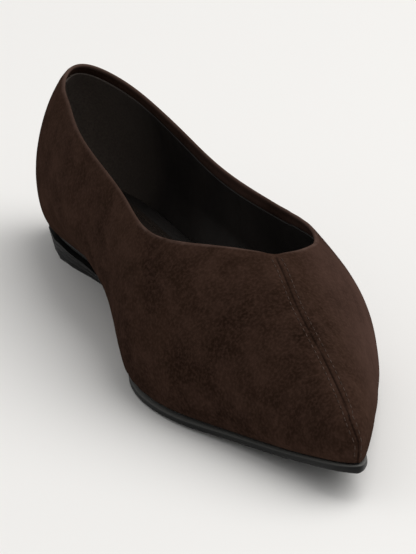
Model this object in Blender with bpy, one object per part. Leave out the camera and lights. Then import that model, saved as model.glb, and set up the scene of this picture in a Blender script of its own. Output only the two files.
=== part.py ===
"""A pointed toe flat shoe for the left foot: a hollow lasted upper, an insole, a thin outsole and a low heel.

The script works in metres with +Z up. The toe points to -Y, the heel to +Y and the outer side of the foot
to +X. The origin is on the floor, under the middle of the shoe. The tables and the shape's functions work
in millimetres, measured along the shoe from the back of the heel, and millimetres become metres only when
a mesh is made.
"""

import math
from collections import namedtuple

import bmesh
import bpy
import numpy as np
from mathutils import Matrix

MM = 0.001

# Driving dimensions, in millimetres
HEEL_CENTRE = 36.0
TOE_CENTRE = 253.0
TOE_REACH = 9.0
TOE_TUCK = 1.0
HEEL_TUCK = 4.5
FULLNESS = 1.75
SLANT_CURVE = 1.2
HEEL_PINCH = 0.24

WALL = 1.8
RIM_WALL = 2.4
MARGIN_WIDTH = 9.0
MARGIN_SHARE = 0.45
SEAM_DEPTH = 0.5

SOLE_THICKNESS = 2.7
SOLE_EDGE = 0.6
SOLE_LEDGE = 1.0
SOLE_LEDGE_HEEL = -1.8
LEDGE_START = 125.0
LEDGE_RAMP = 60.0
INSOLE_THICKNESS = 2.6
INSOLE_EDGE = 0.7
INSOLE_CLEARANCE = 0.8
INSOLE_TOE_CLEARANCE = 1.2
GAP = 0.3

HEEL_BLOCK_LENGTH = 86.0
HEEL_BLOCK_SLANT = 7.0
HEEL_BLOCK_INSET = 0.6
HEEL_BLOCK_TAPER = 2.2
HEEL_BLOCK_NARROWING = 1.0
HEEL_BLOCK_COLUMNS = 4

# Counts of columns and rows in the meshes, and the distances of the rows nearest the top edge
HEEL_COLUMNS = 5
COLLAR_COLUMNS = 18
VAMP_COLUMNS = 9
TOE_COLUMNS = 5
HIGH_ROWS = 6
LOW_ROWS = 4
EDGE_ROWS = (0.0, 2.0, 4.2, 5.0)
MERGE = 0.0005

# The last, section by section from the back of the heel to the toe. Lateral and medial are the half widths
# of the widest line, the tucks say how far the bottom edge lies inside it, the shoulders are the heights of
# the widest line over the bottom edge, floor is the height of the bottom edge over the ground, and crown is
# the height of the ridge, which lies crown_shift to the outer side. Behind the throat the crown is cut away,
# and it only sets how much the walls lean in. Slant is 0 where the wall under the widest line is round and
# 1 where it runs straight down to the bottom edge, as at the waist.
Section = namedtuple(
    "Section",
    "at lateral medial lateral_tuck medial_tuck lateral_shoulder medial_shoulder floor crown crown_shift slant",
)
SECTIONS = (
    Section(0, 18.6, 16.6, 3.5, 3.0, 17.0, 17.0, 12.8, 73.5, 0.0, 0.0),
    Section(36, 23.6, 22.6, 3.5, 5.2, 15.5, 15.5, 10.8, 69.5, 0.0, 0.4),
    Section(80, 30.8, 29.0, 6.5, 16.0, 12.0, 23.0, 7.5, 75.5, 0.0, 1.0),
    Section(120, 39.4, 29.8, 6.5, 7.4, 8.0, 23.0, 4.2, 70.7, -2.5, 1.0),
    Section(160, 46.2, 35.6, 4.5, 2.6, 5.0, 14.5, 3.0, 59.5, -6.5, 0.6),
    Section(185, 39.6, 32.2, 6.0, 3.2, 5.0, 12.5, 3.2, 53.5, 2.5, 0.3),
    Section(210, 28.6, 22.3, 6.2, 3.6, 5.5, 9.5, 4.8, 42.8, 1.6, 0.2),
    Section(235, 16.5, 13.3, 4.4, 2.6, 6.0, 7.2, 7.8, 33.2, 1.3, 0.1),
    Section(253, 7.0, 6.5, 1.6, 1.2, 6.5, 6.5, 11.0, 25.3, 0.6, 0.0),
)

# The topline, from the back of the heel to the throat. Each row gives a place along the shoe and how far
# the section there is turned up from its widest line, in degrees, where the edge runs: 90 is the ridge.
Topline = namedtuple("Topline", "lateral_at lateral_turn medial_at medial_turn")
TOPLINE = (
    Topline(0, 54.0, 0, 54.0),
    Topline(36, 42.5, 36, 52.5),
    Topline(75, 24.7, 75, 39.5),
    Topline(116, 28.5, 116, 38.0),
    Topline(148, 40.2, 148, 46.3),
    Topline(171, 53.4, 169, 60.3),
    Topline(184, 70.0, 182, 75.3),
    Topline(187.3, 80.0, 186.8, 83.0),
    Topline(188, 90.0, 188, 90.0),
)

Surface = namedtuple("Surface", "name colour roughness")
SUEDE = Surface("dark_brown_suede", (0.045, 0.026, 0.020, 1.0), 0.95)
SOCK = Surface("dark_sock_leather", (0.020, 0.015, 0.013, 1.0), 0.45)
RUBBER = Surface("black_sole_rubber", (0.012, 0.012, 0.012, 1.0), 0.55)
STACK = Surface("black_heel_stack", (0.010, 0.010, 0.010, 1.0), 0.50)


def smooth_curve(places, values, at):
    """A smooth curve through the table's values, read at any place. It runs on straight past both ends."""
    places = np.asarray(places, float)
    values = np.asarray(values, float)
    at = np.asarray(at, float)
    step = np.diff(places)
    slope = np.diff(values) / step
    tangent = np.empty_like(values)
    tangent[0] = slope[0]
    tangent[-1] = slope[-1]
    tangent[1:-1] = (step[1:] * slope[:-1] + step[:-1] * slope[1:]) / (step[:-1] + step[1:])
    span = np.clip(np.searchsorted(places, at) - 1, 0, len(step) - 1)
    part = (at - places[span]) / step[span]
    rise = part * part * (3 - 2 * part)
    leave = part * (1 - part) ** 2
    arrive = part * part * (part - 1)
    inside = (
        values[span] * (1 - rise)
        + values[span + 1] * rise
        + step[span] * (tangent[span] * leave + tangent[span + 1] * arrive)
    )
    before = values[0] + tangent[0] * (at - places[0])
    after = values[-1] + tangent[-1] * (at - places[-1])
    return np.where(at < places[0], before, np.where(at > places[-1], after, inside))


def of_last(column, at):
    """One column of the section table, read at any place along the last."""
    places = [row.at for row in SECTIONS]
    return smooth_curve(places, [getattr(row, column) for row in SECTIONS], at)


def floor_height(at):
    """Height of the last's bottom edge over the ground. At the ball the sole lies flat, so it stops there."""
    return np.maximum(of_last("floor", at), SOLE_THICKNESS + GAP)


Station = namedtuple("Station", "side low_at top_at top_turn fan end")


def last_point(station, turn):
    """A point on the outside of the last, in millimetres: x to the outer side, y from the heel, z up.

    The turn runs from 0 at the bottom edge over 1 at the widest line to 2 at the ridge. A station with a
    fan angle stands across the heel's or the toe's round end, and any other lies across the shoe.
    """
    low = min(turn, 1.0) * math.pi / 2
    high = max(turn - 1.0, 0.0) * math.pi / 2
    lean = math.cos(high) ** (2 / FULLNESS)
    round_tuck = 1 - math.sin(low)
    if station.end == "heel":
        reach = HEEL_CENTRE * lean - HEEL_TUCK * round_tuck
        at = HEEL_CENTRE - reach * math.sin(station.fan)
    elif station.end == "toe":
        reach = TOE_REACH * lean - TOE_TUCK * round_tuck
        at = TOE_CENTRE + reach * math.sin(station.fan)
    else:
        at = station.low_at + (station.top_at - station.low_at) * turn / station.top_turn
    slant = of_last("slant", at)
    straight = min(turn, 1.0)
    tuck_left = round_tuck + slant * ((1 - straight) ** SLANT_CURVE - round_tuck)
    own, other = ("lateral", "medial") if station.side > 0 else ("medial", "lateral")
    shift = station.side * of_last("crown_shift", at) * (1 - lean)
    across = of_last(own, at) * lean + shift - of_last(own + "_tuck", at) * tuck_left
    if station.end == "heel":
        across *= 1 - HEEL_PINCH * math.sin(station.fan) * max(turn - 1.0, 0.0)
    sideways = (1 + math.cos(station.fan)) / 2
    shoulder = of_last(own + "_shoulder", at) * sideways + of_last(other + "_shoulder", at) * (1 - sideways)
    base = floor_height(at)
    if turn < 1.0:
        rise = 1 - math.cos(low)
        height = base + shoulder * (rise + slant * (straight - rise))
    else:
        height = base + shoulder + (of_last("crown", at) - base - shoulder) * math.sin(high)
    return np.array([station.side * across * math.cos(station.fan), at, height], float)


def arc_length(points):
    """Distance along a run of points, from its first point to each of the others."""
    steps = np.linalg.norm(np.diff(points, axis=0), axis=1)
    return np.concatenate([[0.0], np.cumsum(steps)])


def topline_reading(side, amount):
    """Place along the shoe and turn of the topline. The amount counts the rows of its table."""
    rows = range(len(TOPLINE))
    name = "lateral" if side > 0 else "medial"
    at = smooth_curve(rows, [getattr(row, name + "_at") for row in TOPLINE], amount)
    degrees = smooth_curve(rows, [getattr(row, name + "_turn") for row in TOPLINE], amount)
    return float(at), 1 + min(float(degrees) / 90, 1.0)


def topline_places(side):
    """Evenly spaced (place, turn) pairs along one side's topline, from the heel's centre to the throat."""
    amounts = np.linspace(1, len(TOPLINE) - 1, 120)
    readings = [topline_reading(side, amount) for amount in amounts]
    edge = [last_point(Station(side, at, at, turn, 0.0, "middle"), turn) for at, turn in readings]
    length = arc_length(np.array(edge))
    even = np.interp(np.linspace(0, length[-1], COLLAR_COLUMNS + 1), length, amounts)
    return [topline_reading(side, amount) for amount in even]


def stations(side):
    """The columns of one side, from the middle of the heel's back to the middle of the toe."""
    columns = []
    for fan in np.linspace(math.pi / 2, 0, HEEL_COLUMNS + 1)[:-1]:
        amount = 1 - math.sin(fan)
        turn = topline_reading(side, amount)[1]
        columns.append(Station(side, HEEL_CENTRE, HEEL_CENTRE, turn, fan, "heel"))
    collar = topline_places(side)
    throat = collar[-1][0]
    vamp = [(at, 2.0) for at in np.linspace(throat, TOE_CENTRE, VAMP_COLUMNS + 1)[1:]]
    tops = collar + vamp
    lows = np.linspace(HEEL_CENTRE, TOE_CENTRE, len(tops))
    for low_at, (top_at, turn) in zip(lows, tops):
        columns.append(Station(side, low_at, top_at, turn, 0.0, "middle"))
    for fan in np.linspace(0, math.pi / 2, TOE_COLUMNS + 1)[1:]:
        columns.append(Station(side, TOE_CENTRE, TOE_CENTRE, 2.0, fan, "toe"))
    return columns


LATERAL = stations(1)
MEDIAL = stations(-1)


def outline(turn, columns):
    """The last's points at one turn, for each column of a side."""
    return np.array([last_point(station, turn) for station in columns])


def pushed_out(points, distance):
    """A side's outline moved outwards in plan, at right angles to itself. The distance may vary."""
    run = np.gradient(points[:, :2], axis=0)
    run[0] = (points[0, 0] - points[1, 0], 0.0) if abs(points[0, 0]) < 1 else run[0]
    run[-1] = (points[-1, 0] - points[-2, 0], 0.0) if abs(points[-1, 0]) < 1 else run[-1]
    run /= np.linalg.norm(run, axis=1)[:, None]
    out = np.stack([run[:, 1], -run[:, 0]], axis=1)
    out *= np.where((out * (points[:, :2] - (0.0, 150.0))).sum(axis=1) < 0, -1.0, 1.0)[:, None]
    moved = points.copy()
    moved[:, :2] += out * np.reshape(distance, (-1, 1))
    return moved


def foot_middle(at):
    """The point on the floor of the last halfway between its two bottom edges."""
    lateral = of_last("lateral", at) - of_last("lateral_tuck", at)
    medial = of_last("medial", at) - of_last("medial_tuck", at)
    return np.array([(lateral - medial) / 2, at, floor_height(at)], float)


def under_margin(station, part, beyond=0.0):
    """A point under the foot, a part of the way over the turned-in margin, or beyond its inner edge."""
    edge = last_point(station, 0.0)
    inward = foot_middle(station.low_at) - edge
    inward[2] = 0.0
    way = np.linalg.norm(inward)
    width = min(MARGIN_WIDTH, MARGIN_SHARE * way)
    point = edge + inward * (width * part + beyond) / way
    point[2] = floor_height(point[1])
    return point


def wall_turns(station):
    """The turns of a column's rows, from its top edge to the bottom edge."""
    above = np.linspace(station.top_turn, 1.0, 60)
    run = arc_length(np.array([last_point(station, turn) for turn in above]))
    squeeze = min(1.0, run[-1] / (2 * EDGE_ROWS[-1]))
    edge = [distance * squeeze for distance in EDGE_ROWS]
    rest = np.linspace(edge[-1], run[-1], HIGH_ROWS + 1)[1:]
    high = np.interp(np.concatenate([edge, rest]), run, above)
    low = np.linspace(1.0, 0.0, LOW_ROWS + 1)[1:]
    return np.concatenate([high, low])


def add_sheet(bm, grid):
    """Faces between neighbouring points of a grid. Where points coincide, the faces are merged later."""
    verts = [[bm.verts.new(point) for point in run] for run in grid]
    for one, other in zip(verts, verts[1:]):
        for row in range(len(one) - 1):
            bm.faces.new((one[row], one[row + 1], other[row + 1], other[row]))
    return verts


def turn_faces_out(bm):
    """Merges points that coincide and turns all faces to the outside, open edges or not."""
    bmesh.ops.remove_doubles(bm, verts=bm.verts, dist=MERGE)
    bmesh.ops.dissolve_degenerate(bm, edges=bm.edges, dist=MERGE)
    bmesh.ops.recalc_face_normals(bm, faces=bm.faces)
    bm.normal_update()
    outermost = max(bm.faces, key=lambda face: face.calc_center_median().x)
    if outermost.normal.x < 0:
        bmesh.ops.reverse_faces(bm, faces=bm.faces)
        bm.normal_update()


def finished_object(bm, name, surface):
    """Gives a mesh in millimetres its place in metres and its material."""
    bmesh.ops.scale(bm, vec=(1.0, -1.0, 1.0), verts=bm.verts)
    turn_faces_out(bm)
    bmesh.ops.scale(bm, vec=(MM, MM, MM), verts=bm.verts)
    mesh = bpy.data.meshes.new(name)
    bm.to_mesh(mesh)
    bm.free()
    mesh.shade_smooth()
    mesh.set_sharp_from_angle(angle=math.radians(40))
    obj = bpy.data.objects.new(name, mesh)
    bpy.context.scene.collection.objects.link(obj)
    material = bpy.data.materials.new(surface.name)
    material.use_nodes = True
    shader = material.node_tree.nodes["Principled BSDF"]
    shader.inputs["Base Color"].default_value = surface.colour
    shader.inputs["Roughness"].default_value = surface.roughness
    shader.inputs["Metallic"].default_value = 0.0
    mesh.materials.append(material)
    return obj


def make_upper():
    """The upper's outside and its margin as one sheet, which Solidify makes a wall of real thickness."""
    bm = bmesh.new()
    weights = bm.verts.layers.deform.verify()
    seam = bm.verts.layers.int.new("seam")
    rim_rows = len(EDGE_ROWS) - 1
    for columns in (LATERAL, MEDIAL):
        grid = []
        for station in columns:
            wall = [last_point(station, turn) for turn in wall_turns(station)]
            margin = [under_margin(station, part) for part in (0.5, 1.0)]
            grid.append(wall + margin)
        verts = add_sheet(bm, grid)
        for station, run in zip(columns, verts):
            on_vamp = station.top_turn == 2.0
            for row, vert in enumerate(run):
                vert[weights][0] = 1.0 if row < rim_rows and not on_vamp else 0.0
            run[0][seam] = int(on_vamp and station.top_at < TOE_CENTRE)
    turn_faces_out(bm)
    for vert in bm.verts:
        if vert[seam]:
            vert.co -= vert.normal * SEAM_DEPTH
    upper = finished_object(bm, "upper", SUEDE)
    upper.vertex_groups.new(name="rim")
    wall = upper.modifiers.new("wall", "SOLIDIFY")
    wall.thickness = RIM_WALL * MM
    wall.offset = -1.0
    wall.use_quality_normals = True
    wall.vertex_group = "rim"
    wall.thickness_vertex_group = WALL / RIM_WALL
    return upper


def inside_reach(station, height):
    """How far out from the bottom edge the wall's inside lies in plan, at a height over that edge."""
    foot = last_point(station, 0.0)
    points = np.array([last_point(station, turn) for turn in np.linspace(0.0, 1.2, 50)]) - foot
    out = foot - foot_middle(station.low_at)
    out[2] = 0.0
    out /= np.linalg.norm(out)
    across = points @ out
    up = points[:, 2]
    run_across = np.gradient(across)
    run_up = np.gradient(up)
    length = np.hypot(run_across, run_up)
    inner_across = across - WALL * run_up / length
    inner_up = up + WALL * run_across / length
    return float(np.interp(height, inner_up, inner_across))


def add_plate(bm, levels, open_front=False):
    """A closed plate from outlines stacked from its top to its underside, each as a pair of sides."""
    sides = []
    for index in (0, 1):
        grid = [[level[index][column] for level in levels] for column in range(len(levels[0][index]))]
        sides.append(add_sheet(bm, grid))
    lateral, medial = sides
    for level in (0, -1):
        for column in range(len(lateral) - 1):
            ladder = (
                lateral[column][level],
                lateral[column + 1][level],
                medial[column + 1][level],
                medial[column][level],
            )
            bm.faces.new(ladder)
    if open_front:
        for level in range(len(levels) - 1):
            front = (
                lateral[-1][level],
                lateral[-1][level + 1],
                medial[-1][level + 1],
                medial[-1][level],
            )
            bm.faces.new(front)


def at_height(points, rise):
    """The points, each at a rise over the last's floor at its own place."""
    placed = points.copy()
    placed[:, 2] = floor_height(points[:, 1]) + rise
    return placed


def make_insole():
    """The insole board. Its edge lies on the margin, and its middle is thick enough to fill the hollow.

    The edge follows the wall's inside, but leans out only half as much.
    """
    low = WALL + GAP
    high = low + INSOLE_THICKNESS
    levels = []
    for height, inset in ((high, INSOLE_EDGE), (high - INSOLE_EDGE, 0.0), (low, 0.0)):
        sides = []
        for columns in (LATERAL, MEDIAL):
            leaning = WALL + (height - low) / 2
            reach = np.array([inside_reach(station, leaning) for station in columns])
            bottom = outline(0.0, columns)
            toe = np.clip((bottom[:, 1] - TOE_CENTRE) / TOE_REACH + 1, 0.0, 1.0)
            edge = pushed_out(bottom, reach - INSOLE_CLEARANCE - INSOLE_TOE_CLEARANCE * toe - inset)
            sides.append(at_height(edge, height))
        levels.append(sides)
    for rise in (low, 0.0):
        sides = []
        for columns in (LATERAL, MEDIAL):
            hollow = np.array([under_margin(station, 1.0, GAP) for station in columns])
            sides.append(at_height(hollow, rise))
        levels.append(sides)
    bm = bmesh.new()
    add_plate(bm, levels)
    return finished_object(bm, "insole", SOCK)


def sole_ledge(points):
    """How far the sole stands out from the upper: it is set in at the heel and the waist, and stands out at the ball."""
    share = np.clip((points[:, 1] - LEDGE_START) / LEDGE_RAMP, 0.0, 1.0)
    return SOLE_LEDGE_HEEL + (SOLE_LEDGE - SOLE_LEDGE_HEEL) * share * share * (3 - 2 * share)


def make_outsole():
    """The thin outsole, with its ledge round the upper. Its underside lies flat at the ball."""
    top = -GAP
    bottom = -GAP - SOLE_THICKNESS
    rows = (
        (top, -SOLE_EDGE),
        (top - SOLE_EDGE, 0.0),
        (bottom + SOLE_EDGE, 0.0),
        (bottom, -SOLE_EDGE),
    )
    levels = []
    for rise, step in rows:
        sides = []
        for columns in (LATERAL, MEDIAL):
            edge = outline(0.0, columns)
            sides.append(at_height(pushed_out(edge, sole_ledge(edge) + step), rise))
        levels.append(sides)
    bm = bmesh.new()
    add_plate(bm, levels)
    return finished_object(bm, "outsole", RUBBER)


def make_heel_block():
    """The low heel under the sole. Its front slants back, and its foot is flat and narrows to the front."""
    places = np.linspace(HEEL_CENTRE, HEEL_BLOCK_LENGTH, HEEL_BLOCK_COLUMNS + 1)
    rows = ((0.0, HEEL_BLOCK_INSET), (1.0, HEEL_BLOCK_INSET + HEEL_BLOCK_TAPER))
    under_sole = -SOLE_THICKNESS - 2 * GAP
    levels = []
    for down, inset in rows:
        sides = []
        for columns in (LATERAL, MEDIAL):
            round_end = [station for station in columns if station.end == "heel"]
            straight = [Station(columns[0].side, at, at, 2.0, 0.0, "middle") for at in places]
            edge = outline(0.0, round_end + straight)
            ahead = np.maximum(edge[:, 1] - HEEL_CENTRE, 0.0) / (HEEL_BLOCK_LENGTH - HEEL_CENTRE)
            edge = pushed_out(edge, -inset - HEEL_BLOCK_NARROWING * ahead * down)
            edge[:, 1] -= ahead * down * HEEL_BLOCK_SLANT
            level = at_height(edge, under_sole)
            level[:, 2] *= 1 - down
            sides.append(level)
        levels.append(sides)
    bm = bmesh.new()
    add_plate(bm, levels, open_front=True)
    return finished_object(bm, "heel_block", STACK)


def centre_on_floor(objects):
    """Moves the pieces together, so that the middle of the whole shoe stands over the origin."""
    corners = [vert.co for obj in objects for vert in obj.data.vertices]
    places = np.array([(corner.x, corner.y) for corner in corners])
    middle = (places.min(axis=0) + places.max(axis=0)) / 2
    for obj in objects:
        obj.data.transform(Matrix.Translation((-middle[0], -middle[1], 0.0)))


def clear_scene():
    for obj in list(bpy.data.objects):
        bpy.data.objects.remove(obj, do_unlink=True)


clear_scene()
upper = make_upper()
pieces = [upper, make_insole(), make_outsole(), make_heel_block()]
centre_on_floor(pieces)
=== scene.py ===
# %% [markdown]
# A pointed flat shoe is a piece of suede pulled over a last, a lining, an insole, a thin sole and a low heel.
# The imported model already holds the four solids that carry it. This scene dresses them: it takes a smooth
# copy of each, adds what a shoemaker adds by hand, which is lining, seam and stitches, and gives each
# surface its own finish.

# %% The frame and its size
import math

import bmesh
import bpy
from mathutils import Matrix, Vector, kdtree, noise
from mathutils.bvhtree import BVHTree


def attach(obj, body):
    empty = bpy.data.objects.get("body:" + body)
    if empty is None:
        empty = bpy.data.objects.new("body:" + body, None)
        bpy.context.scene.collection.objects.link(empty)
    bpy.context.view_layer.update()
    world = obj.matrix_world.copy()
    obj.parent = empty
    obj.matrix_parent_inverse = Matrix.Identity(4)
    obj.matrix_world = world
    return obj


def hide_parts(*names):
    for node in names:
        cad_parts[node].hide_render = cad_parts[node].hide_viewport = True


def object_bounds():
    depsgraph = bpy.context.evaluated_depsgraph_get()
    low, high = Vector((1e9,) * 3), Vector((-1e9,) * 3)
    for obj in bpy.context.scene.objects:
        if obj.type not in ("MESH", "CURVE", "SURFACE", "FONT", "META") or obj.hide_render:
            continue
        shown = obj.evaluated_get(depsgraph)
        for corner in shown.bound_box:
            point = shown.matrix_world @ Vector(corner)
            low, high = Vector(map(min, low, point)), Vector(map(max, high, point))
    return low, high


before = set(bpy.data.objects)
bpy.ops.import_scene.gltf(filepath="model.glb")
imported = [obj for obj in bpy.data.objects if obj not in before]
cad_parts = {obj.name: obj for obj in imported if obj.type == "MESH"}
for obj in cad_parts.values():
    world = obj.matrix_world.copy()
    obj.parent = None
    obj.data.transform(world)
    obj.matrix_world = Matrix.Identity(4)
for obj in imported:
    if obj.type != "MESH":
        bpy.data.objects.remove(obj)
cad_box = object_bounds()
MM = 0.001
UP = Vector((0.0, 0.0, 1.0))
lowest, highest = (Vector(corner) for corner in cad_box)
print("nodes:", sorted(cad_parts), "size in mm:", [round(side / MM, 1) for side in highest - lowest])

# %% [markdown]
# The camera stands where the photographer's did: low, a good metre off, in front of the toe and towards
# the inner side of the foot. A long lens then frames the one shoe, because a change of lens keeps the
# perspective and only a change of place would alter it. A lamp is aimed in the same way, so one helper
# serves both.

# %% Camera
CAMERA_PLACE = (-0.4045, -1.0493, 0.4480)
CAMERA_AIM = (-0.0015, 0.002, 0.0235)
CAMERA_LENS_MM = 244.0
CAMERA_SENSOR_MM = 36.0
CAMERA_NEAR_CLIP = 50.0 * MM


def stand_and_aim(thing, place, aim):
    """Stands a camera or a lamp at its place and turns it to what it is aimed at."""
    thing.location = place
    thing.rotation_euler = (Vector(aim) - Vector(place)).to_track_quat("-Z", "Y").to_euler()
    bpy.context.scene.collection.objects.link(thing)


camera = bpy.data.objects.new("camera", bpy.data.cameras.new("camera"))
camera.data.lens = CAMERA_LENS_MM
camera.data.sensor_width = CAMERA_SENSOR_MM
camera.data.clip_start = CAMERA_NEAR_CLIP
stand_and_aim(camera, CAMERA_PLACE, CAMERA_AIM)
bpy.context.scene.camera = camera
print("camera distance in mm:", round((Vector(CAMERA_AIM) - Vector(CAMERA_PLACE)).length / MM))

# %% [markdown]
# Every finish here is made of nodes. A few short helpers keep the recipes readable. The noise uses the
# object's own coordinates, in metres, so a scale says how many patches lie on a metre of the shoe.

# %% Helpers for materials


def new_material(name):
    """An empty recipe: the material, its tree, its main shader and its Object coordinates."""
    material = bpy.data.materials.new(name)
    material.use_nodes = True
    tree = material.node_tree
    shader = tree.nodes["Principled BSDF"]
    coordinates = tree.nodes.new("ShaderNodeTexCoord").outputs["Object"]
    return material, tree, shader, coordinates


def add_noise(tree, coordinates, scale, detail=3.0, stretch=(1.0, 1.0, 1.0), distortion=0.0):
    """Noise whose patches measure one over the scale, in metres, stretched along the object's axes."""
    mapping = tree.nodes.new("ShaderNodeMapping")
    mapping.inputs["Scale"].default_value = stretch
    tree.links.new(coordinates, mapping.inputs["Vector"])
    texture = tree.nodes.new("ShaderNodeTexNoise")
    texture.inputs["Scale"].default_value = scale
    texture.inputs["Detail"].default_value = detail
    texture.inputs["Distortion"].default_value = distortion
    tree.links.new(mapping.outputs["Vector"], texture.inputs["Vector"])
    return texture.outputs["Fac"]


def spread(tree, value, low, high, to_low=0.0, to_high=1.0):
    """The value, spread from one range to another and held inside it."""
    node = tree.nodes.new("ShaderNodeMapRange")
    node.inputs["From Min"].default_value = low
    node.inputs["From Max"].default_value = high
    node.inputs["To Min"].default_value = to_low
    node.inputs["To Max"].default_value = to_high
    tree.links.new(value, node.inputs["Value"])
    return node.outputs["Result"]


def blend_colours(tree, share, first, second):
    """A colour between two others. Each is a colour or another node's output."""
    node = tree.nodes.new("ShaderNodeMix")
    node.data_type = "RGBA"
    tree.links.new(share, node.inputs["Factor"])
    colour_sockets = [socket for socket in node.inputs if socket.type == "RGBA"]
    for socket, colour in zip(colour_sockets, (first, second)):
        if isinstance(colour, tuple):
            socket.default_value = (*colour, 1.0)
        else:
            tree.links.new(colour, socket)
    return next(socket for socket in node.outputs if socket.type == "RGBA")


def multiply(tree, first, second):
    node = tree.nodes.new("ShaderNodeMath")
    node.operation = "MULTIPLY"
    tree.links.new(first, node.inputs[0])
    tree.links.new(second, node.inputs[1])
    return node.outputs["Value"]


def add_bump(tree, height, depth, strength, under=None):
    """Relief of a depth in metres. It can lie on top of another relief."""
    node = tree.nodes.new("ShaderNodeBump")
    node.inputs["Distance"].default_value = depth
    node.inputs["Strength"].default_value = strength
    tree.links.new(height, node.inputs["Height"])
    if under is not None:
        tree.links.new(under, node.inputs["Normal"])
    return node.outputs["Normal"]


def read_attribute(tree, name):
    """What the mesh's points carry under this name, from 0 to 1."""
    node = tree.nodes.new("ShaderNodeAttribute")
    node.attribute_name = name
    return node.outputs["Fac"]


print("helpers for materials are ready")

# %% [markdown]
# Suede is leather with its fibres brushed up. It has no shine, but it glows at its edges, where one looks
# across the nap: that is what sheen is for. Where a hand has brushed it the nap leans over and the brown
# turns lighter or darker in soft patches. The outer side of this shoe is painted lighter on top of that,
# unevenly: painted light, where the key light falls. The folded top edge gets a painted highlight, a
# lighter line, and the seam is a dark line, so both are painted from attributes that the mesh carries.

# %% Suede
SUEDE_DARK = (0.0120, 0.0062, 0.0040)
SUEDE_MIDDLE = (0.0250, 0.0132, 0.0088)
SUEDE_LIGHT = (0.0620, 0.0340, 0.0250)
SUEDE_EDGE_HIGHLIGHT = (0.1300, 0.0860, 0.0720)
SUEDE_PAINTED_LIT_SIDE = (0.1050, 0.0610, 0.0510)
SEAM_SHADE = (0.0040, 0.0024, 0.0019)
PATCHES_PER_METRE = 30.0
STROKES_PER_METRE = 150.0
FIBRES_PER_METRE = 1050.0
LIGHTENING = 0.42
LIT_SIDE_FROM = 4.0 * MM
LIT_SIDE_TO = 34.0 * MM
LIT_SIDE_SHARE = 0.55
STROKE_RELIEF = 0.25 * MM
FIBRE_RELIEF = 0.12 * MM
SHEEN = 0.04
SHEEN_ROUGHNESS = 0.55
SHEEN_TINT = (0.42, 0.27, 0.22, 1.0)


def suede_colour(tree, coordinates, patches, strokes, fibres):
    """The brown of the nap, then the painted light on the outer side, the painted highlight along the edge
    and the seam on top of it.
    """
    colour = blend_colours(tree, patches, SUEDE_DARK, SUEDE_MIDDLE)
    light_strokes = spread(tree, strokes, low=0.40, high=0.76, to_high=LIGHTENING)
    colour = blend_colours(tree, light_strokes, colour, SUEDE_LIGHT)
    light_fibres = spread(tree, fibres, low=0.42, high=0.70, to_high=LIGHTENING)
    colour = blend_colours(tree, light_fibres, colour, SUEDE_LIGHT)
    # Painted light: the outer side, towards +x, is painted lighter where the key light falls, unevenly by the
    # patches.
    across = tree.nodes.new("ShaderNodeSeparateXYZ")
    tree.links.new(coordinates, across.inputs["Vector"])
    painted_lit_side = spread(tree, across.outputs["X"], LIT_SIDE_FROM, LIT_SIDE_TO, to_high=LIT_SIDE_SHARE)
    uneven = spread(tree, patches, low=0.0, high=1.0, to_low=0.25)
    colour = blend_colours(tree, multiply(tree, painted_lit_side, uneven), colour, SUEDE_PAINTED_LIT_SIDE)
    # Painted highlight: a lighter line along the folded top edge.
    colour = blend_colours(tree, read_attribute(tree, "edge"), colour, SUEDE_EDGE_HIGHLIGHT)
    return blend_colours(tree, read_attribute(tree, "seam"), colour, SEAM_SHADE)


def make_suede():
    material, tree, shader, coordinates = new_material("dark_brown_suede_nap")
    soft = add_noise(tree, coordinates, PATCHES_PER_METRE, detail=4.0, distortion=0.3)
    patches = spread(tree, soft, low=0.36, high=0.64)
    along = (1.0, 0.7, 1.0)
    strokes = add_noise(tree, coordinates, STROKES_PER_METRE, detail=6.0, stretch=along, distortion=0.5)
    fibres = add_noise(tree, coordinates, FIBRES_PER_METRE, detail=6.0)
    colour = suede_colour(tree, coordinates, patches, strokes, fibres)
    tree.links.new(colour, shader.inputs["Base Color"])
    roughness = spread(tree, fibres, low=0.3, high=0.7, to_low=0.86, to_high=0.98)
    tree.links.new(roughness, shader.inputs["Roughness"])
    relief = add_bump(tree, strokes, STROKE_RELIEF, strength=0.25)
    tree.links.new(add_bump(tree, fibres, FIBRE_RELIEF, strength=0.6, under=relief), shader.inputs["Normal"])
    shader.inputs["Specular IOR Level"].default_value = 0.0
    shader.inputs["Sheen Weight"].default_value = SHEEN
    shader.inputs["Sheen Roughness"].default_value = SHEEN_ROUGHNESS
    shader.inputs["Sheen Tint"].default_value = SHEEN_TINT
    return material


suede = make_suede()
print("finish:", suede.name, "nodes:", len(suede.node_tree.nodes))

# %% [markdown]
# The lining and the sock are smooth leather. Smooth leather does shine, unevenly: its fine pores and the
# creases that the foot presses in break the gloss. At the heel the lining is a paler leather with its rough
# side out, which holds the foot. The mesh carries where that is, under the name grip.

# %% Smooth leather
LINING_DARK = (0.010, 0.0085, 0.0078)
LINING_LIGHT = (0.028, 0.024, 0.022)
HEEL_GRIP = (0.180, 0.147, 0.125)
SOCK_DARK = (0.014, 0.010, 0.008)
SOCK_LIGHT = (0.030, 0.023, 0.019)
LINING_ROUGHNESS = 0.52
SOCK_ROUGHNESS = 0.36
LEATHER_POLISH = 0.07
LEATHER_DULLING = 0.10
LINING_CREASES = (1.0, 1.0, 0.35)
SOCK_CREASES = (0.5, 1.0, 1.0)
TONES_PER_METRE = 35.0
CREASES_PER_METRE = 120.0
GRIP_NAP_PER_METRE = 1300.0
PORES_PER_METRE = 1400.0
CREASE_RELIEF = 0.4 * MM
PORE_RELIEF = 0.06 * MM
LEATHER_SHINE = 0.32


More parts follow.
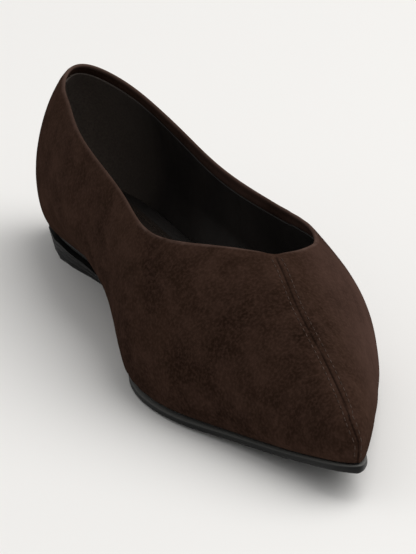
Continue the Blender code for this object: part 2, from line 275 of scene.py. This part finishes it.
def make_smooth_leather(name, dark, light, roughness, crease_stretch, grip=None):
    """Smooth leather. Where a grip colour is given, the attribute of that name lays it on."""
    material, tree, shader, coordinates = new_material(name)
    tone = spread(tree, add_noise(tree, coordinates, TONES_PER_METRE, detail=4.0), low=0.3, high=0.7)
    pores = add_noise(tree, coordinates, PORES_PER_METRE, detail=2.0)
    creases = add_noise(
        tree, coordinates, CREASES_PER_METRE, detail=4.0, stretch=crease_stretch, distortion=0.6
    )
    colour = blend_colours(tree, tone, dark, light)
    colour = blend_colours(tree, spread(tree, creases, low=0.5, high=0.8, to_high=0.5), colour, dark)
    if grip:
        nap = add_noise(tree, coordinates, GRIP_NAP_PER_METRE, detail=4.0)
        nap_share = spread(tree, nap, low=0.3, high=0.7, to_low=0.55, to_high=0.95)
        grip_colour = blend_colours(tree, nap_share, light, grip)
        colour = blend_colours(tree, read_attribute(tree, "grip"), colour, grip_colour)
    tree.links.new(colour, shader.inputs["Base Color"])
    smoothest = roughness - LEATHER_POLISH
    roughest = roughness + LEATHER_DULLING
    uneven = spread(tree, creases, low=0.3, high=0.7, to_low=smoothest, to_high=roughest)
    tree.links.new(uneven, shader.inputs["Roughness"])
    relief = add_bump(tree, creases, CREASE_RELIEF, strength=0.3)
    tree.links.new(add_bump(tree, pores, PORE_RELIEF, strength=0.4, under=relief), shader.inputs["Normal"])
    shader.inputs["Specular IOR Level"].default_value = LEATHER_SHINE
    return material


lining_leather = make_smooth_leather(
    "dark_brown_lining", LINING_DARK, LINING_LIGHT, LINING_ROUGHNESS, LINING_CREASES, HEEL_GRIP
)
sock_leather = make_smooth_leather("dark_sock", SOCK_DARK, SOCK_LIGHT, SOCK_ROUGHNESS, SOCK_CREASES)
print("finishes:", lining_leather.name, sock_leather.name)

# %% [markdown]
# Thread is a twisted yarn. Noise drawn out along the shoe stands for its twist, both in its colour and in a
# little relief.

# %% Thread
SEAM_THREAD_DARK = (0.024, 0.015, 0.011)
SEAM_THREAD_LIGHT = (0.080, 0.052, 0.041)
SOCK_THREAD_DARK = (0.020, 0.014, 0.011)
SOCK_THREAD_LIGHT = (0.050, 0.036, 0.027)
TWISTS_PER_METRE = 2600.0
TWIST_RELIEF = 0.1 * MM
THREAD_ROUGHNESS = 0.8
THREAD_SHINE = 0.1


def make_thread(name, dark, light):
    material, tree, shader, coordinates = new_material(name)
    twist = add_noise(tree, coordinates, TWISTS_PER_METRE, detail=2.0, stretch=(1.0, 0.5, 1.0))
    colour = blend_colours(tree, spread(tree, twist, low=0.35, high=0.65), dark, light)
    tree.links.new(colour, shader.inputs["Base Color"])
    tree.links.new(add_bump(tree, twist, TWIST_RELIEF, strength=0.5), shader.inputs["Normal"])
    shader.inputs["Roughness"].default_value = THREAD_ROUGHNESS
    shader.inputs["Specular IOR Level"].default_value = THREAD_SHINE
    return material


seam_thread = make_thread("brown_thread", SEAM_THREAD_DARK, SEAM_THREAD_LIGHT)
sock_thread = make_thread("dark_thread", SOCK_THREAD_DARK, SOCK_THREAD_LIGHT)
print("finishes:", seam_thread.name, sock_thread.name)

# %% [markdown]
# The sole and the heel are satin rubber with faint rubbing marks. The ledge of the sole, which stands out
# round the upper, gets a pale painted highlight on its upward-facing top, and the mesh carries where that is.

# %% Rubber
SOLE_DARK = (0.008, 0.008, 0.008)
SOLE_LIGHT = (0.018, 0.018, 0.017)
SOLE_LEDGE_HIGHLIGHT = (0.115, 0.115, 0.110)
HEEL_DARK = (0.006, 0.006, 0.006)
HEEL_LIGHT = (0.014, 0.014, 0.013)
SOLE_ROUGHNESS = 0.45
HEEL_ROUGHNESS = 0.5
RUBBER_POLISH = 0.08
RUBBER_DULLING = 0.14
MARKS_PER_METRE = 55.0
GRAINS_PER_METRE = 1500.0
GRAIN_RELIEF = 0.05 * MM
RUBBER_SHINE = 0.14


def make_rubber(name, dark, light, roughness, ledge_highlight=None):
    """Satin rubber with rubbing marks. An attribute lays on a painted highlight colour, if one is given."""
    material, tree, shader, coordinates = new_material(name)
    along = (1.0, 0.35, 3.0)
    marks = add_noise(tree, coordinates, MARKS_PER_METRE, detail=6.0, stretch=along, distortion=0.4)
    grain = add_noise(tree, coordinates, GRAINS_PER_METRE, detail=2.0)
    colour = blend_colours(tree, spread(tree, marks, low=0.4, high=0.75), dark, light)
    if ledge_highlight:
        # Painted highlight on the upward-facing top of the sole's ledge.
        colour = blend_colours(tree, read_attribute(tree, "ledge_highlight"), colour, ledge_highlight)
    tree.links.new(colour, shader.inputs["Base Color"])
    smoothest = roughness - RUBBER_POLISH
    roughest = roughness + RUBBER_DULLING
    uneven = spread(tree, marks, low=0.3, high=0.7, to_low=smoothest, to_high=roughest)
    tree.links.new(uneven, shader.inputs["Roughness"])
    tree.links.new(add_bump(tree, grain, GRAIN_RELIEF, strength=0.5), shader.inputs["Normal"])
    shader.inputs["Specular IOR Level"].default_value = RUBBER_SHINE
    return material


sole_rubber = make_rubber("black_sole_edge", SOLE_DARK, SOLE_LIGHT, SOLE_ROUGHNESS, SOLE_LEDGE_HIGHLIGHT)
heel_rubber = make_rubber("black_heel_layers", HEEL_DARK, HEEL_LIGHT, HEEL_ROUGHNESS)
print("finishes:", sole_rubber.name, heel_rubber.name)

# %% [markdown]
# A CAD node arrives as loose triangles with creases where its facets meet. Merged and joined back to quads
# it takes a Subdivision Surface, which draws the smooth skin that leather has over a last. The result is
# baked, so that the steps after it can work on the fine mesh.

# %% Helpers for pieces
MERGE = 0.01 * MM
QUAD_BEND = math.radians(40)
QUAD_SKEW = math.radians(70)
SMOOTH_LEVELS = 2


def smooth_copy(node_name, crease_of=None):
    """A bmesh of the node's surface as quads. Edges that the given function creases stay sharper."""
    bm = bmesh.new()
    bm.from_mesh(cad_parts[node_name].data)
    bmesh.ops.remove_doubles(bm, verts=bm.verts, dist=MERGE)
    bmesh.ops.join_triangles(
        bm, faces=bm.faces, angle_face_threshold=QUAD_BEND, angle_shape_threshold=QUAD_SKEW
    )
    crease = bm.edges.layers.float.new("crease_edge")
    for edge in bm.edges:
        edge[crease] = crease_of(edge) if crease_of else 0.0
    return bm


def as_piece(bm, name, material):
    """An object with the bmesh as its mesh, its faces smooth and its material in the slot."""
    mesh = bpy.data.meshes.new(name)
    bm.to_mesh(mesh)
    bm.free()
    mesh.shade_smooth()
    mesh.materials.append(material)
    piece = bpy.data.objects.new(name, mesh)
    bpy.context.scene.collection.objects.link(piece)
    return piece


def bake(piece):
    """Puts what the modifiers make into the mesh itself."""
    graph = bpy.context.evaluated_depsgraph_get()
    mesh = bpy.data.meshes.new_from_object(
        piece.evaluated_get(graph), preserve_all_data_layers=True, depsgraph=graph
    )
    piece.modifiers.clear()
    piece.data = mesh
    mesh.name = piece.name


def subdivide(piece, levels):
    modifier = piece.modifiers.new("smooth", "SUBSURF")
    modifier.levels = levels
    modifier.render_levels = levels


def thicken(piece, thickness):
    modifier = piece.modifiers.new("thickness", "SOLIDIFY")
    modifier.thickness = thickness
    modifier.offset = 1.0


def belongs_to(piece, slot_name, *nodes):
    """The piece rides with the shoe and stands for the nodes, if there are any, which it hides. The slot name
    is not used.
    """
    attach(piece, "root")
    if nodes:
        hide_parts(*nodes)


print("helpers for pieces are ready")

# %% [markdown]
# To dress the wall the script has to know which of its faces are outside, inside or on the cut edge. A
# point in the hollow of the shoe tells the first two apart: the inside looks towards it. A cut edge is
# found by how deep the leather is behind it, because only there is it deeper than the wall is thick. The
# toe, where the solid is deep as well, lies in front of the opening and has no cut edge.

# %% Reading the wall
TOE_END = lowest.y + 9.0 * MM
HEEL_END = highest.y - 36.0 * MM
HOLLOW_SIDE = -4.0 * MM
HOLLOW_HEIGHT = 20.0 * MM
DEEPEST_WALL = 3.0 * MM
UNDERFOOT = 20.0 * MM
OPENING_FRONT = lowest.y + 62.0 * MM
JUST_INSIDE = 0.02 * MM
ENDLESS = 1.0


def looks_inwards(place, normal):
    hollow = Vector((HOLLOW_SIDE, min(max(place.y, TOE_END), HEEL_END), HOLLOW_HEIGHT))
    return normal.dot(hollow - place) > 0.0


def depth_behind(tree, place, normal):
    """How far the leather reaches behind a place on its surface."""
    hit = tree.ray_cast(place - normal * JUST_INSIDE, -normal)
    return hit[3] if hit[0] is not None else ENDLESS


def face_kind(tree, face):
    place = face.calc_center_median()
    near_opening = place.z > UNDERFOOT and place.y > OPENING_FRONT
    if near_opening and depth_behind(tree, place, face.normal) > DEEPEST_WALL:
        return "edge"
    return "inside" if looks_inwards(place, face.normal) else "outside"


def nearness_tree(points):
    tree = kdtree.KDTree(len(points))
    for index, point in enumerate(points):
        tree.insert(point, index)
    tree.balance()
    return tree


print("hollow of the shoe in mm, from toe to heel:", round(TOE_END / MM, 1), round(HEEL_END / MM, 1))

# %% [markdown]
# The seam runs over the ridge of the vamp from the throat to the toe. The model has it as a shallow
# groove, so the script looks for edges on the outside that bend inwards there, and carries the line on
# down the front of the toe to the sole.

# %% The line of the seam
SEAM_BEND = math.radians(-5.0)
SEAM_STEP = 0.5 * MM
SEAM_LOWEST = 24.0 * MM
SEAM_BACK = 0.0
SEAM_DIRECTNESS = 0.8
TOE_SEAM_DROP = 1.0 * MM
TOE_SEAM_END = 12.0 * MM
IN_FRONT_OF_TOE = lowest.y - 50.0 * MM


def groove_points(bm):
    """The points of the groove from the throat to the toe."""
    points = set()
    for edge in bm.edges:
        if len(edge.link_faces) != 2 or min(vert.co.z for vert in edge.verts) < SEAM_LOWEST:
            continue
        first, second = (vert.co for vert in edge.verts)
        middle = (first + second) / 2
        normal = edge.link_faces[0].normal + edge.link_faces[1].normal
        runs_along = abs(first.y - second.y) > SEAM_DIRECTNESS * edge.calc_length()
        if middle.y > SEAM_BACK or looks_inwards(middle, normal) or not runs_along:
            continue
        if edge.calc_face_angle_signed() < SEAM_BEND:
            points.update((tuple(first), tuple(second)))
    return [Vector(point) for point in sorted(points, key=lambda point: -point[1])]


def toe_front_points(tree, start):
    """Points down the front of the toe, under the end of the groove."""
    points = []
    height = start.z - TOE_SEAM_DROP
    while True:
        hit = tree.ray_cast(Vector((start.x, IN_FRONT_OF_TOE, height)), Vector((0.0, 1.0, 0.0)))[0]
        if hit is None or height < TOE_SEAM_END:
            return points
        points.append(hit)
        height -= TOE_SEAM_DROP


def evenly(points, step):
    """The run of points, refined to an even step."""
    fine = []
    for first, second in zip(points, points[1:]):
        count = max(1, round((second - first).length / step))
        fine += [first.lerp(second, share / count) for share in range(count)]
    return fine + [points[-1]]


upper_bm = smooth_copy("upper")
upper_bm.normal_update()
groove = groove_points(upper_bm)
seam_line = evenly(groove + toe_front_points(BVHTree.FromBMesh(upper_bm), groove[-1]), SEAM_STEP)
print("groove points:", len(groove), "seam length in mm:", round(len(seam_line) * SEAM_STEP / MM, 1))

# %% [markdown]
# The suede itself. Two levels of Subdivision Surface turn the facets into one skin. Each of its faces is
# then sorted once, and two search trees answer how far any point is from the cut edge and from the seam.

# %% Smooth skin of the suede
upper_piece = as_piece(upper_bm, "suede_upper", suede)
subdivide(upper_piece, SMOOTH_LEVELS)
bake(upper_piece)
upper_fine = bmesh.new()
upper_fine.from_mesh(upper_piece.data)
upper_fine.normal_update()
fine_tree = BVHTree.FromBMesh(upper_fine)
kinds = {face.index: face_kind(fine_tree, face) for face in upper_fine.faces}
edge_faces = [face for face in upper_fine.faces if kinds[face.index] == "edge"]
edge_tree = nearness_tree([face.calc_center_median() for face in edge_faces])
seam_tree = nearness_tree(seam_line)


def on_outside(vert):
    return all(kinds[face.index] == "outside" for face in vert.link_faces)


print("faces of the suede:", len(kinds), "of them on the cut edge:", len(edge_faces))

# %% [markdown]
# The top edge is a fold. The maker pares the leather thin there, so that it doesn't rub the foot. The points
# inside are drawn towards the outer skin, more and more towards the edge.

# %% Pared rim
RIM_DEPTH = 6.0 * MM
RIM_SHARE = 0.42


def ease(share):
    """A soft start and a soft end between 0 and 1."""
    return share * share * (3.0 - 2.0 * share)


def outer_skin_tree():
    sheet = upper_fine.copy()
    sheet.faces.ensure_lookup_table()
    others = [face for face in sheet.faces if kinds[face.index] != "outside"]
    bmesh.ops.delete(sheet, geom=others, context="FACES")
    tree = BVHTree.FromBMesh(sheet)
    sheet.free()
    return tree


def pare_rim():
    """Thins the wall round the opening, and says how many points it moved."""
    skin_tree = outer_skin_tree()
    moved = 0
    for vert in upper_fine.verts:
        from_edge = edge_tree.find(vert.co)[2]
        if from_edge > RIM_DEPTH or on_outside(vert):
            continue
        skin = skin_tree.find_nearest(vert.co)[0]
        vert.co = skin.lerp(vert.co, RIM_SHARE + (1.0 - RIM_SHARE) * ease(from_edge / RIM_DEPTH))
        moved += 1
    upper_fine.normal_update()
    return moved


print("points of the rim:", pare_rim())

# %% [markdown]
# Leather over a last is never quite even, so the outer skin gets a very low swell of noise. The seam is
# drawn in, and so is a valley on each side of it, as the stitches pull the two halves down. Where the
# painted highlight along the edge lies, and where the seam lies, are also written into the mesh, for the
# suede's colour to read.

# %% Edge, seam and swell
SWELL_DEPTH = 0.22 * MM
SWELLS_PER_METRE = 55.0
SWELL_START = 6.0 * MM
SEAM_PULL = 0.30 * MM
SEAM_REACH = 1.2 * MM
SEAM_LINE_WIDTH = 0.55 * MM
STITCH_VALLEY = 0.16 * MM
STITCH_VALLEY_REACH = 0.8 * MM
STITCH_OFFSET = 1.6 * MM
EDGE_HIGHLIGHT_WIDTH = 1.5 * MM
EDGE_HIGHLIGHT_SHARE = 0.75


def fade(distance, reach):
    """One at no distance, falling to zero at the reach."""
    return max(0.0, 1.0 - distance / reach)


def shape_outer_skin():
    edge_highlight_layer = upper_fine.verts.layers.float.new("edge")
    seam_layer = upper_fine.verts.layers.float.new("seam")
    for vert in upper_fine.verts:
        from_edge = edge_tree.find(vert.co)[2]
        from_seam = seam_tree.find(vert.co)[2]
        # A painted highlight along the folded top edge, for the suede's colour.
        vert[edge_highlight_layer] = fade(from_edge, EDGE_HIGHLIGHT_WIDTH) * EDGE_HIGHLIGHT_SHARE
        if not on_outside(vert):
            continue
        vert[seam_layer] = fade(from_seam, SEAM_LINE_WIDTH)
        swell = noise.noise(vert.co * SWELLS_PER_METRE) * SWELL_DEPTH * min(1.0, from_edge / SWELL_START)
        pull = SEAM_PULL * fade(from_seam, SEAM_REACH) ** 2
        valley = STITCH_VALLEY * fade(abs(from_seam - STITCH_OFFSET), STITCH_VALLEY_REACH)
        vert.co += vert.normal * (swell - pull - valley)


shape_outer_skin()
upper_fine.to_mesh(upper_piece.data)
belongs_to(upper_piece, "suede", "upper")
print("points of the suede:", len(upper_piece.data.vertices))

# %% [markdown]
# The lining is a second, thinner skin inside. It stops a few millimetres under the folded edge, which gives
# the narrow band that runs round the opening of the real shoe. Near the insole it is gathered by lasting,
# so it gets low upright wrinkles there. Its heel end carries the grip.

# %% Lining
BAND_WIDTH = 4.2 * MM
LINING_THICKNESS = 0.45 * MM
LINING_GLUE = 0.08 * MM
WRINKLE_DEPTH = 0.30 * MM
WRINKLE_TOP = 30.0 * MM
WRINKLES_ALONG = 130.0
WRINKLES_ACROSS = 40.0
WRINKLES_UP = 18.0
GRIP_START = highest.y - 42.0 * MM
GRIP_BLEND = 36.0 * MM


def wrinkle(place):
    """How high the lining stands at a place: upright folds that die out towards the top."""
    x, y, z = place
    wave = noise.noise(Vector((y * WRINKLES_ALONG, x * WRINKLES_ACROSS, z * WRINKLES_UP)))
    return WRINKLE_DEPTH * max(0.0, wave) * fade(z, WRINKLE_TOP)


def lining_sheet():
    """The inside of the suede, without the band round the opening."""
    bm = upper_fine.copy()
    bm.faces.ensure_lookup_table()
    others = []
    for face in bm.faces:
        from_edge = edge_tree.find(face.calc_center_median())[2]
        if kinds[face.index] != "inside" or from_edge < BAND_WIDTH:
            others.append(face)
    bmesh.ops.delete(bm, geom=others, context="FACES")
    bm.normal_update()
    return bm


def make_lining():
    bm = lining_sheet()
    grip_layer = bm.verts.layers.float.new("grip")
    for vert in bm.verts:
        vert.co += vert.normal * (LINING_GLUE + wrinkle(vert.co))
        vert[grip_layer] = min(max((vert.co.y - GRIP_START) / GRIP_BLEND, 0.0), 1.0)
    piece = as_piece(bm, "lining", lining_leather)
    thicken(piece, LINING_THICKNESS)
    bake(piece)
    belongs_to(piece, "insole_leather")
    return piece


lining = make_lining()
print("lining faces:", len(lining.data.polygons))

# %% [markdown]
# Stitches are short lengths of thread that dip into the leather at both ends. Each one here is a slim
# rounded bead, laid on the surface along the seam. There is a row on each side of the seam.

# %% Stitches along the seam
SEAM_STITCH = 1.7 * MM
SEAM_STITCH_PITCH = 2.4 * MM
SEAM_STITCH_WIDTH = 0.38 * MM
SEAM_END_POINTS = 4
SEAM_POINTS_PER_TURN = 4
THREAD_SIDES = 8
THREAD_RINGS = 6
THREAD_FLATNESS = 0.8
THREAD_RISE = 0.15
POINTS_PER_STITCH = 6
HALF_STITCH = POINTS_PER_STITCH // 2
ROW_REACH = 2


def add_stitch(bm, place, along, normal, length, width):
    """One stitch: a slim bead with its long way along the seam, half sunk in the surface."""
    side = normal.cross(along).normalized()
    out = along.cross(side).normalized()
    turn = Matrix((side, out, along)).transposed().to_4x4()
    size = Matrix.Diagonal((width / 2, width / 2 * THREAD_FLATNESS, length / 2, 1.0))
    placing = Matrix.Translation(place) @ turn @ size
    bmesh.ops.create_uvsphere(
        bm, u_segments=THREAD_SIDES, v_segments=THREAD_RINGS, radius=1.0, matrix=placing
    )


def stitch_run(bm, tree, path, length, pitch, width):
    """Stitches at an even pitch along a path, each set on the surface under it."""
    fine = evenly(path, pitch / POINTS_PER_STITCH)
    for index in range(HALF_STITCH, len(fine) - HALF_STITCH, POINTS_PER_STITCH):
        place, normal, _, _ = tree.find_nearest(fine[index])
        along = (fine[index + HALF_STITCH] - fine[index - HALF_STITCH]).normalized()
        along = (along - normal * along.dot(normal)).normalized()
        add_stitch(bm, place + normal * width * THREAD_RISE, along, normal, length, width)


def beside(path, tree, offset):
    """The path moved sideways along the surface."""
    moved = []
    for index, point in enumerate(path):
        before = path[max(index - ROW_REACH, 0)]
        after = path[min(index + ROW_REACH, len(path) - 1)]
        normal = tree.find_nearest(point)[1]
        side = normal.cross(after - before).normalized()
        moved.append(tree.find_nearest(point + side * offset)[0])
    return moved


def make_seam_stitches():
    tree = BVHTree.FromBMesh(upper_fine)
    bm = bmesh.new()
    path = seam_line[SEAM_END_POINTS:-SEAM_END_POINTS:SEAM_POINTS_PER_TURN]
    for offset in (STITCH_OFFSET, -STITCH_OFFSET):
        row = beside(path, tree, offset)
        stitch_run(bm, tree, row, SEAM_STITCH, SEAM_STITCH_PITCH, SEAM_STITCH_WIDTH)
    piece = as_piece(bm, "seam_stitches", seam_thread)
    belongs_to(piece, "suede")
    return piece


seam_stitches = make_seam_stitches()
print("faces of the seam stitches:", len(seam_stitches.data.polygons))

# %% [markdown]
# The insole board fills the bottom of the shoe. It takes one level of Subdivision Surface, and a crease
# keeps the corner round its edge from melting away.

# %% Insole board
CORNER_ANGLE = math.radians(60)
CORNER_CREASE = 0.6
BOARD_LEVELS = 1


def corner_crease(edge):
    is_corner = len(edge.link_faces) == 2 and edge.calc_face_angle() > CORNER_ANGLE
    return CORNER_CREASE if is_corner else 0.0


board = as_piece(smooth_copy("insole", corner_crease), "insole_board", lining_leather)
subdivide(board, BOARD_LEVELS)
bake(board)
belongs_to(board, "insole_leather", "insole")
print("board faces:", len(board.data.polygons))

# %% [markdown]
# On the board lies the sock, a piece of smooth leather a little smaller than the board and sewn down along
# its edge. It is cut out of the board's own top, which is inset and raised, so that it follows the foot bed
# exactly.

# %% Sock
SOCK_INSET = 6.0 * MM
SOCK_THICKNESS = 0.7 * MM
SOCK_FRONT = -80.0 * MM
SOCK_GLUE = 0.05 * MM
SOCK_ROUNDING = 0.3 * MM
SOCK_ROUNDING_STEPS = 3
FOOT_BED_SLOPE = 0.9
FOOT_BED_LOWEST = 3.5 * MM
SAME_PLANE = math.radians(0.5)


def in_foot_bed(face):
    return face.normal.z >= FOOT_BED_SLOPE and min(vert.co.z for vert in face.verts) >= FOOT_BED_LOWEST


def sock_sheet(inset):
    """The foot bed's top as an open sheet, cut off under the vamp and drawn in all round."""
    bm = bmesh.new()
    bm.from_mesh(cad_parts["insole"].data)
    bmesh.ops.remove_doubles(bm, verts=bm.verts, dist=MERGE)
    bm.normal_update()
    below = [face for face in bm.faces if not in_foot_bed(face)]
    bmesh.ops.delete(bm, geom=below, context="FACES")
    sheet = bm.verts[:] + bm.edges[:] + bm.faces[:]
    front = Vector((0.0, SOCK_FRONT, 0.0))
    forwards = Vector((0.0, -1.0, 0.0))
    bmesh.ops.bisect_plane(bm, geom=sheet, plane_co=front, plane_no=forwards, clear_outer=True)
    bmesh.ops.dissolve_limit(bm, angle_limit=SAME_PLANE, verts=bm.verts, edges=bm.edges)
    border = bmesh.ops.inset_region(
        bm, faces=bm.faces[:], thickness=inset, use_even_offset=True, use_boundary=True
    )
    bmesh.ops.delete(bm, geom=border["faces"], context="FACES")
    return bm


def make_sock():
    bm = sock_sheet(SOCK_INSET)
    bmesh.ops.translate(bm, verts=bm.verts, vec=UP * SOCK_GLUE)
    piece = as_piece(bm, "sock", sock_leather)
    thicken(piece, SOCK_THICKNESS)
    rounding = piece.modifiers.new("edge", "BEVEL")
    rounding.width = SOCK_ROUNDING
    rounding.segments = SOCK_ROUNDING_STEPS
    bake(piece)
    belongs_to(piece, "insole_leather")
    return piece


sock = make_sock()
print("sock faces:", len(sock.data.polygons))

# %% [markdown]
# The sock's own row of stitches runs from one front corner round the heel to the other. The border of a
# sheet that is inset a little more gives its path.

# %% Stitches round the sock
SOCK_STITCH = 2.2 * MM
SOCK_STITCH_PITCH = 3.2 * MM
SOCK_STITCH_WIDTH = 0.4 * MM
SOCK_STITCH_INSET = 2.0 * MM
ABOVE_SOCK = 2.0 * MM
WALK_START = SOCK_FRONT + SOCK_INSET * 1.5
ROW_FRONT = SOCK_FRONT + SOCK_INSET * 1.4


def border_path(bm):
    """The open border of a sheet as one run of points, without its front."""
    links = {}
    for edge in bm.edges:
        if edge.is_boundary:
            for vert in edge.verts:
                links.setdefault(vert, []).append(edge)
    behind = [vert for vert in links if vert.co.y > WALK_START]
    start = min(behind, key=lambda vert: (vert.co.y, vert.co.x))
    path = [start]
    edge = links[start][0]
    seen = set()
    while edge not in seen:
        seen.add(edge)
        vert = edge.other_vert(path[-1])
        path.append(vert)
        edge = next((each for each in links[vert] if each not in seen), edge)
    return [vert.co.copy() for vert in path if vert.co.y > ROW_FRONT]


def make_sock_stitches():
    sheet = sock_sheet(SOCK_INSET + SOCK_STITCH_INSET)
    raised = [point + UP * ABOVE_SOCK for point in border_path(sheet)]
    sheet.free()
    solid = bmesh.new()
    solid.from_mesh(sock.data)
    tree = BVHTree.FromBMesh(solid)
    solid.free()
    bm = bmesh.new()
    stitch_run(bm, tree, raised, SOCK_STITCH, SOCK_STITCH_PITCH, SOCK_STITCH_WIDTH)
    piece = as_piece(bm, "sock_stitches", sock_thread)
    belongs_to(piece, "insole_leather")
    return piece


sock_stitches = make_sock_stitches()
print("faces of the sock stitches:", len(sock_stitches.data.polygons))

# %% [markdown]
# The outsole is a thin sheet of black rubber. Its edge stands out a little from the upper, and this ledge
# is the light line that runs round the front of the shoe. The copy has to be smooth, and the more a point
# of it looks upwards, the stronger the painted highlight it gets, for the light that its top catches.

# %% Outsole
LEDGE_SLOPE = 0.55

sole = as_piece(smooth_copy("outsole"), "rubber_outsole", sole_rubber)
subdivide(sole, SMOOTH_LEVELS)
bake(sole)
# Painted highlight: the more a point faces upwards, the lighter it is painted.
ledge_highlight_layer = sole.data.attributes.new("ledge_highlight", "FLOAT", "POINT")
for vert in sole.data.vertices:
    upwards = (vert.normal.z - LEDGE_SLOPE) / (1.0 - LEDGE_SLOPE)
    ledge_highlight_layer.data[vert.index].value = min(max(upwards, 0.0), 1.0)
belongs_to(sole, "sole_rubber", "outsole")
print("outsole faces:", len(sole.data.polygons))

# %% [markdown]
# The heel is built up from layers. Level cuts go round the block at each joint between two layers, and the
# middle one of each three is drawn in, which leaves a fine groove.

# %% Heel block
HEEL_JOINTS = (1.9 * MM, 3.9 * MM, 5.9 * MM)
HEEL_GROOVE_WIDTH = 0.35 * MM
HEEL_GROOVE_DEPTH = 0.22 * MM
HEEL_SHARP_ANGLE = math.radians(50)


def make_heel():
    bm = smooth_copy("heel_block")
    for joint in HEEL_JOINTS:
        for height in (joint - HEEL_GROOVE_WIDTH / 2, joint, joint + HEEL_GROOVE_WIDTH / 2):
            everything = bm.verts[:] + bm.edges[:] + bm.faces[:]
            bmesh.ops.bisect_plane(bm, geom=everything, plane_co=UP * height, plane_no=UP, dist=MERGE)
    bm.normal_update()
    for joint in HEEL_JOINTS:
        ring = [vert for vert in bm.verts if abs(vert.co.z - joint) < MERGE]
        for vert in ring:
            outwards = Vector((vert.normal.x, vert.normal.y, 0.0)).normalized()
            vert.co -= outwards * HEEL_GROOVE_DEPTH
    piece = as_piece(bm, "heel_layers", heel_rubber)
    piece.data.set_sharp_from_angle(angle=HEEL_SHARP_ANGLE)
    belongs_to(piece, "heel_rubber", "heel_block")
    return piece


heel = make_heel()
print("heel faces:", len(heel.data.polygons))

# %% [markdown]
# A plain pale floor, wide enough to fill the picture, with a hardly visible tone in it.

# %% Floor
FLOOR_HALF = 6.0
FLOOR_COLOUR = (0.86, 0.855, 0.845)
FLOOR_TONES_PER_METRE = 3.0
FLOOR_TONE_STEP = 0.01
FLOOR_ROUGHNESS = 0.9
FLOOR_SHINE = 0.1


def make_floor():
    bm = bmesh.new()
    bmesh.ops.create_grid(bm, x_segments=2, y_segments=2, size=FLOOR_HALF)
    material, tree, shader, coordinates = new_material("pale_floor")
    tone = add_noise(tree, coordinates, FLOOR_TONES_PER_METRE, detail=2.0)
    lighter = tuple(value + FLOOR_TONE_STEP for value in FLOOR_COLOUR)
    tree.links.new(blend_colours(tree, tone, FLOOR_COLOUR, lighter), shader.inputs["Base Color"])
    shader.inputs["Roughness"].default_value = FLOOR_ROUGHNESS
    shader.inputs["Specular IOR Level"].default_value = FLOOR_SHINE
    floor = as_piece(bm, "floor", material)


make_floor()
print("floor width in metres:", 2 * FLOOR_HALF)

# %% [markdown]
# Soft light. The key light is wide and stands high over the outer side, which is the lighter one in the
# photograph, and the world fills in the rest. The Standard view shows the dark browns as they are, where
# the usual one would turn them greyer.

# %% Light
KEY_PLACE = (0.95, -0.25, 1.75)
KEY_AIM = (0.0, 0.0, 0.03)
KEY_SIZE = 2.7
KEY_POWER = 33.0
KEY_COLOUR = (1.0, 0.985, 0.965)
WORLD_COLOUR = (1.0, 0.995, 0.985, 1.0)
WORLD_STRENGTH = 0.545

key = bpy.data.lights.new("key", "AREA")
key.shape = "DISK"
key.size = KEY_SIZE
key.energy = KEY_POWER
key.color = KEY_COLOUR
stand_and_aim(bpy.data.objects.new("key", key), KEY_PLACE, KEY_AIM)
world = bpy.data.worlds.new("studio")
world.use_nodes = True
world.node_tree.nodes["Background"].inputs["Color"].default_value = WORLD_COLOUR
world.node_tree.nodes["Background"].inputs["Strength"].default_value = WORLD_STRENGTH
bpy.context.scene.world = world
bpy.context.scene.view_settings.view_transform = "Standard"
print("key light in watts:", KEY_POWER, "world strength:", WORLD_STRENGTH)

# %% [markdown]
# Last, the fine copy of the suede is freed.

# %% Freeing the fine copy
upper_fine.free()
